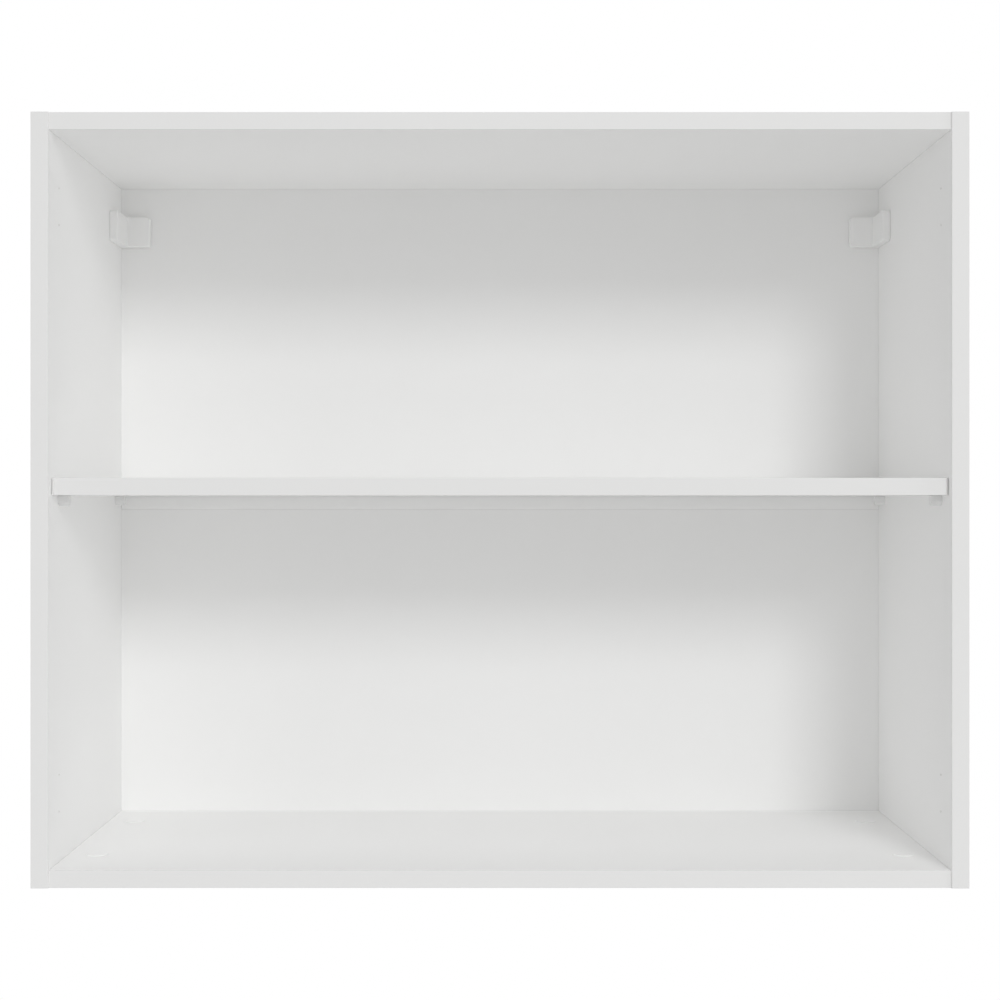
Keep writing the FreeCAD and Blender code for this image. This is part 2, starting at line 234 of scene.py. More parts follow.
# %% [markdown]
# ## Coated chipboard
#
# The boards are three-layer chipboard: fine flakes in two thin face layers, coarse flakes in the
# core, and a sheet of white resin-soaked paper pressed on each face. The paper is smooth with a
# faint pearl texture. Where the board is cut and nothing covers the cut, at the rear edges, in the
# grooves and in the drilled holes, the flakes show between two fine white lines of paper. Only
# the small pilot holes near the front are pale inside, with the filler dust of the press.
#
# Each face could get its own material, but the CAD meshes have no face groups. The depth under
# the nearest broad face says the same thing: paper within 0.15 mm of a face, flakes below it.

# %% Flakes of the raw board
PAPER_WHITE = (0.93, 0.93, 0.926)
FLAKE_COLOURS = [
    (0.0, (0.27, 0.17, 0.09)),
    (0.3, (0.48, 0.33, 0.18)),
    (0.65, (0.65, 0.49, 0.3)),
    (1.0, (0.79, 0.65, 0.45)),
]
PIT_BROWN = (0.09, 0.05, 0.025)
PAPER_THICKNESS = 0.15 * MM


def flakes(finish, under_face, thin_axis):
    """Colour, height and roughness of cut chipboard; thin_axis is the board's thickness.

    Cells stretched in the board's plane are the flakes. They are small within 2.6 mm of a face
    and three times larger in the core, and each takes a random shade from one ramp.
    """
    core = finish.step(under_face, 2.3 * MM, 2.9 * MM)
    fine, coarse = [1300.0] * 3, [420.0] * 3
    fine[thin_axis], coarse[thin_axis] = 3400.0, 1500.0
    colours, distances = [], []
    for scales in (fine, coarse):
        where = finish.stretched(*scales)
        shift = finish.noise(0.7, 2.0, 0.5, where).beside("Color")
        warped = finish.node("ShaderNodeVectorMath", {"operation": "ADD"}, {0: where, 1: shift})
        chance = finish.node("ShaderNodeSeparateColor", {}, {0: finish.cells(1.0, warped, "Color")})
        colours.append(finish.ramp(chance, FLAKE_COLOURS))
        distances.append(finish.cells(1.0, warped))
    colour = finish.mix(core, *colours)
    gaps = distances[0] * (1 - core) * 0.4 + distances[1] * core
    pits = finish.step(gaps, 0.45, 0.85)
    colour = finish.mix(pits * 0.75, colour, PIT_BROWN)
    return colour, 1 - gaps, 0.82 + pits * 0.1


# %% White coated board
HOLE_DUST, JOINT_SHADE, SPECK_GREY = (0.6, 0.59, 0.57), (0.3, 0.3, 0.31), (0.66, 0.65, 0.62)


def paper(finish):
    """The paper's white, its pearl texture and its normal."""
    pearl = finish.noise(1500.0, 3.0, 0.6)
    peel = finish.noise(260.0, 2.0, 0.45)
    white = finish.clouded(finish.noise(3.0, 3.0, 0.5), PAPER_WHITE, 0.99)
    return white, pearl, finish.bump(pearl, 0.35, 0.03 * MM, finish.bump(peel, 0.3, 0.05 * MM))


def coated_board(name, under_face, thin_axis, joint=None, punched=None):
    """White paper over flakes.

    joint is 1 in a fine line where another board is pressed on, and there a painted shadow
    darkens the paper as the narrow gap would shade it; punched is 1 where the walls of the holes
    are pale.
    """
    finish = Finish(name)
    depth = under_face(finish)
    raw = finish.step(depth, PAPER_THICKNESS - 0.01 * MM, PAPER_THICKNESS + 0.02 * MM)
    cut_colour, cut_height, cut_rough = flakes(finish, depth, thin_axis)
    if punched is not None:
        cut_colour = finish.mix(punched(finish) * 0.9, cut_colour, HOLE_DUST)
    white, pearl, smooth = paper(finish)
    specks = finish.step(finish.noise(2600.0, 1.0), 0.74, 0.8)
    white = finish.mix(specks * 0.05, white, SPECK_GREY)
    if joint is not None:
        # Painted shadow: a fine grey line where the board meets the side panels, standing in for
        # the shade in the gap of the joint.
        white = finish.mix(joint(finish) * 0.45, white, JOINT_SHADE)
    rubbed = finish.step(finish.noise(9.0, 3.0, 0.65), 0.42, 0.7)
    rough = 0.52 + pearl * 0.09 - rubbed * 0.05
    normal = finish.bump(cut_height * raw, 0.9, 0.35 * MM, smooth)
    rough = rough * (1 - raw) + cut_rough * raw
    return finish.done(finish.mix(raw, white, cut_colour), rough, normal)


def under_side_faces(finish):
    """Depth under the nearer broad face of either side panel: both lie at the same |x|."""
    across = abs(finish.x)
    return (across - inner).least(outer - across)


def under_level_faces(finish):
    """Depth under the nearer broad face of the top or bottom: both lie at the same |z - middle|."""
    away = abs(finish.z - middle)
    return (away - (top_low - middle)).least((top_high - middle) - away)


def pressed_on_sides(finish):
    """1 in the last 0.2 mm before the side panels, where the boards' ends meet them and a painted
    shadow line darkens the paper.
    """
    return finish.step(abs(finish.x), inner - 0.3 * MM, inner - 0.2 * MM)


PILOT_ROW_DEPTH = 37 * MM


def near_pilot_holes(finish):
    """1 within 2 mm of the upright row that holds the hinge plates' pilot holes."""
    from_row = abs(finish.y - (front + PILOT_ROW_DEPTH))
    return 1 - finish.step(from_row, 2 * MM, 2.1 * MM)


side_board = coated_board("coated_board_upright", under_side_faces, 0, punched=near_pilot_holes)
level_board = coated_board("coated_board_level", under_level_faces, 2, pressed_on_sides)

# %% [markdown]
# ## The shelf's board
#
# The loose shelf is the same board, but its four edges are all covered. So it is white wherever
# it is seen, and the band on its rear edge shows a faint glue line.

# %% White all round
shelf_rear = span("shelf_board", 1)[1]
GLUE_GREY = (0.52, 0.5, 0.47)


def covered_board(name):
    """White paper on both faces, and a white band on the rear edge with its hairline."""
    finish = Finish(name)
    rear_gap = shelf_rear - finish.y
    past_band = finish.step(rear_gap, 0.3 * MM, 0.4 * MM)
    hairline = past_band * (1 - finish.step(rear_gap, 0.45 * MM, 0.55 * MM))
    white, pearl, smooth = paper(finish)
    white = finish.mix(hairline * 0.3, white, GLUE_GREY)
    rubbed = finish.step(finish.noise(7.0, 3.0, 0.65), 0.45, 0.7)
    return finish.done(white, 0.46 + pearl * 0.09 - rubbed * 0.06, smooth)


shelf_finish = covered_board("coated_board_shelf")

# %% [markdown]
# ## Edge bands
#
# A strip of white plastic is glued along each front edge, trimmed flush, and its corners are
# rounded by a scraper. It is a little glossier than the paper. The scraper leaves very fine
# ripples across its travel, and a glue line shows as a hairline where the strip meets the board.
# The line is placed by a coordinate, so one function serves every band.

# %% White plastic band
BAND_WHITE = (0.824, 0.824, 0.818)
BAND_GLUE = (0.5, 0.48, 0.44)
BAND_THICKNESS = 0.5 * MM
SCRAPER_RIPPLE = 1.7 * MM


def edge_band(name, from_glue, along):
    """White band; from_glue is the distance from the glued face, along the axis it runs on."""
    finish = Finish(name)
    glued = 1 - finish.step(from_glue(finish), 0.08 * MM, 0.14 * MM)
    stretch = [900.0] * 3
    stretch[along] = 25.0
    drawn = finish.noise(1.0, 3.0, 0.6, finish.stretched(*stretch))
    ripple = finish.wave((finish.x, finish.y, finish.z)[along], SCRAPER_RIPPLE)
    clouds = finish.noise(14.0, 2.0, 0.5)
    white = finish.clouded(clouds, BAND_WHITE, 0.992)
    white = finish.mix(glued * 0.45, white, BAND_GLUE)
    normal = finish.bump(ripple, 0.12, 0.004 * MM, finish.bump(drawn, 0.3, 0.02 * MM))
    return finish.done(white, 0.46 + drawn * 0.1 + clouds * 0.04, normal)


side_glue = span("right_front_band", 1)[1]
level_glue = span("top_front_band", 1)[1]
shelf_glue = span("shelf_front_band", 1)[1]
end_glue = (top_high - middle) - BAND_THICKNESS
upright_band = edge_band("edge_band_upright", lambda f: side_glue - f.y, 2)
level_band = edge_band("edge_band_level", lambda f: level_glue - f.y, 0)
shelf_band = edge_band("edge_band_shelf", lambda f: shelf_glue - f.y, 0)
end_band = edge_band("edge_band_ends", lambda f: abs(f.z - middle) - end_glue, 1)

# %% [markdown]
# ## Hardboard back
#
# The back is 3 mm hardboard. Its front is lacquered white with a roller, which leaves a soft
# stipple. Its rear is bare: brown fibre, printed by the wire screen that carried the wet board
# through the press. Two crossed waves make the screen's print, and stretched noise the fibres.
# A thin grey line of painted shadow runs along the edges of the strip that joins the two pieces.

# %% Lacquer in front, screen print behind
LACQUER_WHITE = (0.92, 0.92, 0.916)
STRIP_SHADOW_GREY, SCREEN_BROWN = (0.35, 0.35, 0.36), (0.07, 0.036, 0.018)
FIBRE_BROWNS = [
    (0.25, (0.105, 0.055, 0.028)),
    (0.5, (0.2, 0.115, 0.06)),
    (0.75, (0.33, 0.21, 0.12)),
]
SCREEN_WIRE = 1.5 * MM
strip_low, strip_high = span("back_joint_strip", 2)


def hardboard(name):
    """White stippled lacquer on the front face, brown screen-printed fibre on the rear."""
    finish = Finish(name)
    bare = finish.step(finish.y, back_front + 0.12 * MM, back_front + 0.2 * MM)
    stipple = finish.noise(900.0, 2.0, 0.55)
    white = finish.clouded(finish.noise(4.0, 3.0, 0.5), LACQUER_WHITE, 0.985)
    # Painted shadow: a faint grey line on the lacquer just past the strip's edges, where its lip
    # shades the back.
    past_strip = abs(finish.z - middle) - (strip_high - middle)
    fade = 1 - finish.step(past_strip, 0.6 * MM, 1.1 * MM)
    strip_shadow = finish.step(past_strip, -0.3 * MM, 0) * fade
    white = finish.mix(strip_shadow * 0.12, white, STRIP_SHADOW_GREY)
    screen = finish.wave(finish.x, SCREEN_WIRE) * finish.wave(finish.z, SCREEN_WIRE)
    fibres = finish.noise(1.0, 4.0, 0.65, finish.stretched(700.0, 300.0, 190.0))
    mottle = finish.noise(22.0, 4.0, 0.6)
    brown = finish.ramp(fibres * 0.7 + mottle * 0.3, FIBRE_BROWNS)
    brown = finish.mix(finish.step(screen, 0.2, 0.9) * 0.25, brown, SCREEN_BROWN)
    front_normal = finish.bump(stipple, 0.35, 0.04 * MM)
    normal = finish.bump((screen * 0.5 + fibres) * bare, 0.7, 0.18 * MM, front_normal)
    rough = (0.5 + stipple * 0.08) * (1 - bare) + (0.72 + fibres * 0.2) * bare
    return finish.done(finish.mix(bare, white, brown), rough, normal)


back_finish = hardboard("hardboard_back")

# %% [markdown]
# ## White plastic
#
# The covers, the pegs and the caps are moulded in a tool with a spark-eroded face, which gives an
# even, very fine grain. The strip between the back pieces is extruded, so its marks are long
# lines along its length. One function makes both, with its grain stretched or not. The pegs get
# a greyer white, which is painted shade for the shadow they sit in under the shelf.

# %% Moulded and extruded
PLASTIC_WHITE = (0.93, 0.93, 0.926)
# The pegs' greyer white is painted shade: it darkens them as the shadow under the shelf would.
PEG_SHADED_WHITE = (0.84, 0.84, 0.836)


def white_plastic(name, shade, stretch, grain_height, rough):
    """White plastic of one shade, whose fine grain is stretched along one or no axis."""
    finish = Finish(name)
    grain = finish.noise(1.0, 2.0, 0.6, finish.stretched(*stretch))
    flow = finish.noise(60.0, 3.0, 0.55)
    white = finish.clouded(flow, shade, 0.985)
    scratches = finish.noise(1.0, 4.0, 0.7, finish.stretched(90.0, 260.0, 700.0))
    scuffs = finish.step(scratches, 0.66, 0.74)
    normal = finish.bump(grain, 0.4, grain_height, finish.bump(flow, 0.1, 0.03 * MM))
    return finish.done(white, rough + grain * 0.12 - scuffs * 0.06, normal)


even, drawn_along_x = (2600.0, 2600.0, 2600.0), (8.0, 1500.0, 1500.0)
moulded_plastic = white_plastic("moulded_white_plastic", PLASTIC_WHITE, even, 0.012 * MM, 0.34)
peg_plastic_shaded = white_plastic("peg_plastic_painted_shade", PEG_SHADED_WHITE, even, 0.012 * MM, 0.34)
extruded_plastic = white_plastic(
    "extruded_white_plastic", PLASTIC_WHITE, drawn_along_x, 0.03 * MM, 0.32)

# %% [markdown]
# ## Metal
#
# The hangers, their screws and the cam bolts are steel with a thin bright zinc coat: slightly
# blue, with a faint straw tint in patches and fine rolling lines. The cams are cast zinc, which is
# duller and greyer, with a cloudy skin where the metal chilled in the tool.

# %% Plated steel and cast zinc
def metal(name, colours, clouds_scale, lines, rough, pitting):
    """Bare metal: tinted clouds, fine lines along one axis, and small pits."""
    finish = Finish(name)
    clouds = finish.noise(clouds_scale, 4.0, 0.6)
    rolled = finish.noise(1.0, 3.0, 0.6, finish.stretched(*lines))
    pits = finish.step(finish.noise(2100.0, 2.0), 0.66, 0.76)
    colour = finish.ramp(clouds * 0.7 + rolled * 0.3, list(zip((0.3, 0.5, 0.7), colours)))
    colour = finish.mix(pits * pitting, colour, (0.2, 0.2, 0.2))
    normal = finish.bump(rolled, 0.35, 0.015 * MM, finish.bump(1 - pits, pitting, 0.05 * MM))
    return finish.done(colour, rough + clouds * 0.16 + rolled * 0.08, normal, metallic=1.0)


plated_steel = metal(
    "zinc_plated_steel", [(0.6, 0.63, 0.67), (0.7, 0.71, 0.72), (0.74, 0.71, 0.63)],
    130.0, (2200.0, 60.0, 1100.0), 0.2, 0.25)
cast_zinc = metal(
    "cast_zinc", [(0.42, 0.43, 0.45), (0.54, 0.55, 0.56), (0.62, 0.62, 0.62)],
    420.0, (900.0, 900.0, 900.0), 0.36, 0.5)

# %% [markdown]
# ## Beech
#
# The dowels are beech, pale and even, with a close grain along their length and short darker
# rays. They are inside the joints, and would show only if the cabinet were taken apart.

# %% Beech along the dowel
BEECH_COLOURS = [(0.3, (0.5, 0.33, 0.19)), (0.5, (0.66, 0.47, 0.3)), (0.7, (0.76, 0.58, 0.4))]
RAY_BROWN = (0.36, 0.21, 0.11)


def beech_wood(name):
    """Pale wood: long soft streaks along X and short dark ray flecks."""
    finish = Finish(name)
    grain = finish.noise(1.0, 4.0, 0.6, finish.stretched(28.0, 900.0, 900.0))
    rays = finish.noise(1.0, 2.0, 0.5, finish.stretched(350.0, 1900.0, 1900.0))
    colour = finish.ramp(grain, BEECH_COLOURS)
    colour = finish.mix(finish.step(rays, 0.62, 0.7) * 0.6, colour, RAY_BROWN)
    return finish.done(colour, 0.6 + grain * 0.12, finish.bump(grain, 0.5, 0.08 * MM))


beech = beech_wood("beech")

# %% [markdown]
# ## Give the CAD nodes their finishes
#
# These nodes have the right shape already, so only their material slots change. The table names
# the finish once for each group of nodes.

# %% Finishes of the CAD nodes
CAD_FINISHES = {
    side_board: ["left_side_panel", "right_side_panel"],
    level_board: ["top_panel", "bottom_panel"],
    shelf_finish: ["shelf_board"],
    upright_band: ["left_front_band", "right_front_band"],
    level_band: ["top_front_band", "bottom_front_band"],
    shelf_band: ["shelf_front_band"],
    end_band: ["side_end_bands"],
    back_finish: ["back_panel_upper", "back_panel_lower"],
    moulded_plastic: ["left_hanger_cover", "right_hanger_cover"],
    plated_steel: ["left_hanger_bracket", "right_hanger_bracket"],
    cast_zinc: ["top_cam_locks", "bottom_cam_locks"],
}
for finish_material, names in CAD_FINISHES.items():
    for name in names:
        for slot in nodes[name].material_slots:
            slot.material = finish_material
print(sum(len(names) for names in CAD_FINISHES.values()), "CAD nodes have their finishes")

# %% [markdown]
# ## Surfaces from grids
#
# Every new piece is a stack of closed rings: a profile carried along a path, with each ring a row
# of points. Quads join neighbouring rings, and one flat face closes each end. The signed volume
# tells whether the faces look outwards, so a shell that is inside out is turned before use.

# %% Rings to a closed shell
def shell_from_rings(rings):
    """Points and faces of a closed shell; rings has the shape (rings, points round, 3).

    Quad (i, j) joins points j and j + 1 of rings i and i + 1, and the first and last rings are
    closed by one face each. The volume is the sum, over the faces' triangles, of a . (b x c) / 6.
    """
    count, around = rings.shape[:2]
    i, j = np.meshgrid(np.arange(count - 1), np.arange(around), indexing="ij")
    here, after = i * around + j, i * around + (j + 1) % around
    quads = np.stack([here, after, after + around, here + around], -1).reshape(-1, 4)
    points = rings.reshape(-1, 3)
    a, b, c, d = (points[quads[:, k]] - points.mean(0) for k in range(4))
    volume = (a * (np.cross(b, c) + np.cross(c, d))).sum() / 6
    first, last = np.arange(around)[::-1], np.arange(around) + (count - 1) * around
    faces = quads.tolist() + [first.tolist(), last.tolist()]
    if volume < 0:
        faces = [face[::-1] for face in faces]
    return points, faces


def placed(name, data):
    """A new object in the scene, at the origin."""
    made = bpy.data.objects.new(name, data)
    bpy.context.scene.collection.objects.link(made)
    return made


CREASE = 32  # degrees


def build_piece(name, shells, finish, body, slot, *stands_for):
    """One object from closed shells, shaded smooth except over edges sharper than the crease."""
    points, faces, used = [], [], 0
    for shell_points, shell_faces in shells:
        faces += [[k + used for k in face] for face in shell_faces]
        points.append(shell_points)
        used += len(shell_points)
    mesh = bpy.data.meshes.new(name)
    mesh.from_pydata(np.concatenate(points).tolist(), [], faces)
    mesh.polygons.foreach_set("use_smooth", np.ones(len(faces), bool))
    mesh.set_sharp_from_angle(angle=math.radians(CREASE))
    mesh.materials.append(finish)
    piece = placed(name, mesh)
    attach(piece, body)
    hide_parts(*stands_for)
    low, high = (np.concatenate(points) / MM).min(0), (np.concatenate(points) / MM).max(0)
    print(f"{name}: {len(shells)} shells, {len(faces)} faces, {low.round(2)} to {high.round(2)} mm")


# %% [markdown]
# ## Turned pieces
#
# Screws, bolts, dowels and caps are turned: a profile of distance along an axis against radius,
# swept round it. The radius may also depend on the angle. That one addition gives a dowel its
# flutes, and a screw its thread, because a thread is a ridge whose place along the axis moves on
# by one pitch in each turn.

# %% Sweep a profile round an axis
UP = (0, 0, 1)


def turns(around):
    """Angles of evenly spaced points round a circle."""
    return np.arange(around) * 2 * math.pi / around


def turned(along, radius, around, start, direction, up):
    """Rings round an axis: point (i, j) is start + along * direction, plus the radius at (i, j)
    times (cos angle * up + sin angle * (direction x up)); along may differ round a ring too."""
    angle = turns(around)
    direction, up = np.array(direction, float), np.array(up, float)
    aside = np.cross(direction, up)
    along = np.broadcast_to(np.reshape(along, (len(along), -1)), (len(along), around))
    radius = np.broadcast_to(np.reshape(radius, (len(radius), -1)), (len(radius), around))
    round_it = np.cos(angle)[:, None] * up + np.sin(angle)[:, None] * aside
    return np.array(start) + along[..., None] * direction + radius[..., None] * round_it


def thread_height(along, around, pitch, sharpness):
    """Height from 0 to 1 of a helical ridge: a peak where along / pitch less the turn is whole."""
    phase = (np.reshape(along, (-1, 1)) / pitch - np.arange(around) / around) % 1.0
    return np.clip(1 - sharpness * np.abs(phase - 0.5) * 2, 0, 1)


def arc_profile(centre, radius, start, end, steps):
    """Points (along, radius) on part of a circle, by angle in degrees from the axis."""
    angle = np.radians(np.linspace(start, end, steps))
    return np.stack([centre[0] + radius * np.cos(angle), centre[1] + radius * np.sin(angle)], 1)


# %% [markdown]
# ## Bracket screws
#
# Each hanger is held by two pan-head screws with a coarse chipboard thread. They show when a cover
# is pulled off, so the head has its domed top, its rounded rim and a cross recess with sloping
# wings. The recess could be cut with a boolean, but a height map on the head's own polar grid is
# steadier: the height falls by the recess's depth inside the cross, along a short slope.

# %% One screw as a single skin
screw_head_radius, screw_head_height, screw_length = 4.5 * MM, 2.5 * MM, 12 * MM
screw_core, screw_crest, screw_pitch = 1.75 * MM, 2.5 * MM, 1.8 * MM
recess_length, recess_width, recess_depth = 4.6 * MM, 1.1 * MM, 1.4 * MM
rim_round = 1.15 * MM


def cross_recess(top_radius, angle):
    """How far the cross recess sinks at each radius and angle: two wings with sloping walls."""
    u = np.abs(top_radius[:, None] * np.cos(angle))
    v = np.abs(top_radius[:, None] * np.sin(angle))
    long_half, thin_half = recess_length / 2, recess_width / 2
    one_wing = np.maximum(u / long_half, v / thin_half)
    other_wing = np.maximum(v / long_half, u / thin_half)
    return np.clip((1.05 - np.minimum(one_wing, other_wing)) / 0.3, 0, 1) * recess_depth


def screw_shell(seat, out):
    """A screw on the side panel: seat is the point under its head, out the way the head faces."""
    around = 96
    shank = np.linspace(-screw_length, 0, 78)
    taper = np.clip((shank + screw_length) / (2.6 * MM), 0.06, 1)
    fade = np.clip(-shank / (1.2 * MM), 0, 1)
    ridge = thread_height(shank, around, screw_pitch, 2.4) * fade[:, None]
    shank_radius = (screw_core + (screw_crest - screw_core) * ridge) * taper[:, None]
    shank_radius = np.maximum(shank_radius, 0.08 * MM)
    rim_centre = (screw_head_height - rim_round - 0.1 * MM, screw_head_radius - rim_round)
    rim = arc_profile(rim_centre, rim_round, 90, 8, 12)
    skirt = np.array([
        [0, screw_core * 1.1], [0, screw_head_radius - 0.15 * MM], [0.15 * MM, screw_head_radius]])
    head = np.concatenate([skirt, rim])
    top_radius = np.linspace(rim[-1, 1], 0.03 * MM, 46)
    dome = rim[-1, 0] + (screw_head_height - rim[-1, 0]) * (1 - (top_radius / rim[-1, 1]) ** 2)
    top_along = dome[:, None] - cross_recess(top_radius, turns(around))
    level, tops = np.ones(around), np.ones(around) * top_radius[:, None]
    along = np.concatenate([shank[:, None] * level, head[:, :1] * level, top_along])
    radius = np.concatenate([shank_radius, head[:, 1:] * level, tops])
    return shell_from_rings(turned(along, radius, around, seat, out, UP))


# %% Screws of both hangers
screw_low, screw_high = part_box("left_bracket_screws")
screw_rows = (screw_low.y + screw_head_radius, screw_high.y - screw_head_radius)
screw_z = (screw_low.z + screw_high.z) / 2
seat_x = -screw_high.x + screw_head_height
for side, name in ((-1, "left"), (1, "right")):
    shells = [screw_shell((side * seat_x, y, screw_z), (-side, 0, 0)) for y in screw_rows]
    build_piece(
        f"{name}_pan_head_screws", shells, plated_steel, "carcass", "plated_steel",
        f"{name}_bracket_screws")

# %% [markdown]
# ## Cam bolts
#
# A cam bolt screws into the side panel up to its collar, and its head is caught by the cam in the
# end of the top or bottom panel. Its profile has four parts: thread, collar, neck and head. Steps
# with short slopes, and a crease angle, keep the turned corners crisp.

# %% Bolts in the sides
BOLT_STEPS = [  # distance from the side's inner face and radius, in mm, from the tip to the head
    (0.0, 2.3), (0.0, 3.2), (0.2, 3.4), (17.3, 3.4), (17.5, 3.2), (17.5, 2.0),
    (17.6, 1.9), (22.85, 1.9), (22.9, 2.0), (22.9, 2.9), (23.2, 3.2), (25.6, 3.2), (26.2, 2.9),
    (26.5, 2.2), (26.5, 0.1),
]
bolt_thread, bolt_head_radius = 11 * MM, 3.4 * MM


def cam_bolt_shell(face_point, out):
    """A cam bolt: a helical thread behind the face, then the stepped profile in front of it."""
    around = 48
    thread = np.linspace(-bolt_thread, -0.02 * MM, 60)
    taper = np.clip((thread + bolt_thread) / (1.2 * MM), 0.45, 1)
    ridge = thread_height(thread, around, 1.25 * MM, 2.0)
    thread_radius = (1.95 + 0.5 * ridge) * MM * taper[:, None]
    steps = np.array(BOLT_STEPS) * MM
    along = np.concatenate([thread, steps[:, 0]])
    radius = np.concatenate([thread_radius, np.repeat(steps[:, 1:], around, 1)])
    return shell_from_rings(turned(along, radius, around, face_point, out, UP))


bolt_low, bolt_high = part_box("left_cam_bolts")
bolt_rows = (bolt_low.y + bolt_head_radius, bolt_high.y - bolt_head_radius)
joint_heights = ((bottom_low + bottom_high) / 2, (top_low + top_high) / 2)
for side, name in ((-1, "left"), (1, "right")):
    shells = [
        cam_bolt_shell((side * inner, y, z), (-side, 0, 0))
        for z in joint_heights for y in bolt_rows]
    build_piece(
        f"{name}_threaded_cam_bolts", shells, plated_steel, "carcass", "plated_steel",
        f"{name}_cam_bolts")

# %% [markdown]
# ## Fluted dowels
#
# The dowels keep the joints in line. A real one is pressed through a fluted die, so that glue can
# run along it, and its ends are chamfered. The flutes are a wave on the radius: the larger of 0
# and a cosine of the angle times their number, taken off the full radius.

# %% Dowels
dowel_low, dowel_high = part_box("wood_dowels")
dowel_radius = 3.95 * MM
dowel_rows = (dowel_low.y + dowel_radius, dowel_high.y - dowel_radius)
dowel_reach = dowel_high.x
dowel_length = 30 * MM


def dowel_shell(end_point, direction):
    """A fluted dowel with 20 grooves and chamfered ends."""
    flutes, around = 20, 100
    along = np.array([0, 0.35, 1.0, 1.6, 28.4, 29.0, 29.65, 30]) * MM
    ends = np.array([2.6, 3.1, 3.8, 3.95, 3.95, 3.8, 3.1, 2.6]) / 3.95
    groove = np.maximum(0, np.cos(flutes * turns(around))) * 0.22 * MM
    depth = np.array([0, 0.3, 0.8, 1, 1, 0.8, 0.3, 0])
    radius = dowel_radius * ends[:, None] - groove * depth[:, None]
    return shell_from_rings(turned(along, radius, around, end_point, direction, UP))


shells = [
    dowel_shell((side * (dowel_reach - dowel_length), y, z), (side, 0, 0))
    for side in (-1, 1) for z in joint_heights for y in dowel_rows]
build_piece("fluted_dowels", shells, beech, "carcass", "beech", "wood_dowels")

# %% [markdown]
# ## Cam caps
#
# A thin white cap clicks into each of the bottom panel's cams. It is a slightly crowned disc with
# a rounded rim and a short stem below. The crown is a parabola: the height falls with the square
# of the distance from the middle.

# %% Crowned caps
cap_low, cap_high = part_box("bottom_cam_caps")
cap_radius = 10 * MM
cap_x = cap_high.x - cap_radius
cap_rows = (cap_low.y + cap_radius, cap_high.y - cap_radius)


def cap_shell(centre):
    """Stem, flat underside, rounded rim and a crown that falls 0.16 mm from middle to rim."""
    around = 72
    stem = np.array([[-2.0, 0.05], [-2.0, 2.0], [-1.6, 2.35], [-0.1, 2.35], [0, 2.5]])
    rim = arc_profile((0.3, 9.46), 0.54, 90, 12, 8)
    under = np.array([[0, 9.55], [0.05, 9.85], [0.22, 9.98]])
    crown_radius = np.linspace(rim[-1, 1], 0.05, 14)
    crown = rim[-1, 0] + (0.998 - rim[-1, 0]) * (1 - (crown_radius / rim[-1, 1]) ** 2)
    profile = np.concatenate([stem, under, rim, np.stack([crown, crown_radius], 1)]) * MM
    return shell_from_rings(turned(profile[:, 0], profile[:, 1], around, centre, UP, (1, 0, 0)))


shells = [cap_shell((side * cap_x, y, bottom_high)) for side in (-1, 1) for y in cap_rows]
build_piece(
    "crowned_cam_caps", shells, moulded_plastic, "carcass", "white_plastic", "bottom_cam_caps")

# %% [markdown]
# ## Outlines with rounded corners
#
# The pegs and the back's joining strip are flat outlines carried along X. A corner is rounded by
# an arc that touches both its sides, inwards or outwards alike. Each point keeps its outward
# normal, so that a ring can be drawn in along the normals, which rounds or bevels an end's edge.

# %% Rounded outline and its normals
def rounded_outline(corners, radii, steps=6):
    """Points and outward normals of a closed outline, its corners in anticlockwise order.

    At a corner with unit directions a in and b out, the arc's centre lies on the inner side at
    radius / cos(half the turn) along the bisector, and its normals turn evenly from one side's
    normal to the next.
    """
    corners, radii = np.array(corners, float), np.array(radii, float)
    into = corners - np.roll(corners, 1, 0)
    into /= np.linalg.norm(into, axis=1, keepdims=True)
    onward = np.roll(into, -1, 0)
    start = np.arctan2(-into[:, 0], into[:, 1])
    turn = np.arctan2(into[:, 0] * onward[:, 1] - into[:, 1] * onward[:, 0], (into * onward).sum(1))
    share = np.linspace(0, 1, steps)
    angle = start[:, None] + turn[:, None] * share
    normals = np.stack([np.cos(angle), np.sin(angle)], -1)
    bend = np.sign(turn) * radii
    middle_angle = start + turn / 2
    bisector = np.stack([np.cos(middle_angle), np.sin(middle_angle)], -1)
    centres = corners - bisector * (bend / np.cos(turn / 2))[:, None]
    points = centres[:, None] + normals * bend[:, None, None]
    return points.reshape(-1, 2), normals.reshape(-1, 2)


def carried(outline, stations):
    """Rings along X of an outline in (y, z): each station is an x and how far to draw it in."""
    points, normals = outline
    stations = np.array(stations, float)
    drawn = points - normals * stations[:, 1][:, None, None]
    x = np.repeat(stations[:, :1], len(points), 1)
    return np.concatenate([x[..., None], drawn], -1)


# %% [markdown]
# ## Joining strip
#
# The two pieces of the back meet behind the shelf in an extruded strip with an H section. Each
# flange ends in a lip that leans a little towards the back panel, so that it springs against it.
# The outline has twelve main corners, and the lips' rounding is nearly half their thickness.

# %% H section carried across the back
strip_front, strip_rear = span("back_joint_strip", 1)
strip_side = span("back_joint_strip", 0)[1]
flange, web = 0.9 * MM, 1.2 * MM
play = 0.1 * MM  # between the strip and each face of the back
f0, f1, r1, r0 = strip_front, back_front - play, back_rear + play, strip_rear
w0, w1 = middle - web / 2, middle + web / 2
lip, taper = 2.2 * MM, 0.22 * MM
h_corners = [
    (r0, strip_low), (r0, strip_high), (r1, strip_high), (r1, w1), (f1, w1), (f1, strip_high),
    (f0 + taper, strip_high), (f0, strip_high - lip), (f0, strip_low + lip),
    (f0 + taper, strip_low), (f1, strip_low), (f1, w0), (r1, w0), (r1, strip_low),
]
h_radii = np.array([0.3, 0.3, 0.3, 0.15, 0.15, 0.2, 0.4, 3, 3, 0.4, 0.2, 0.15, 0.15, 0.3]) * MM
h_outline = rounded_outline(h_corners, h_radii)
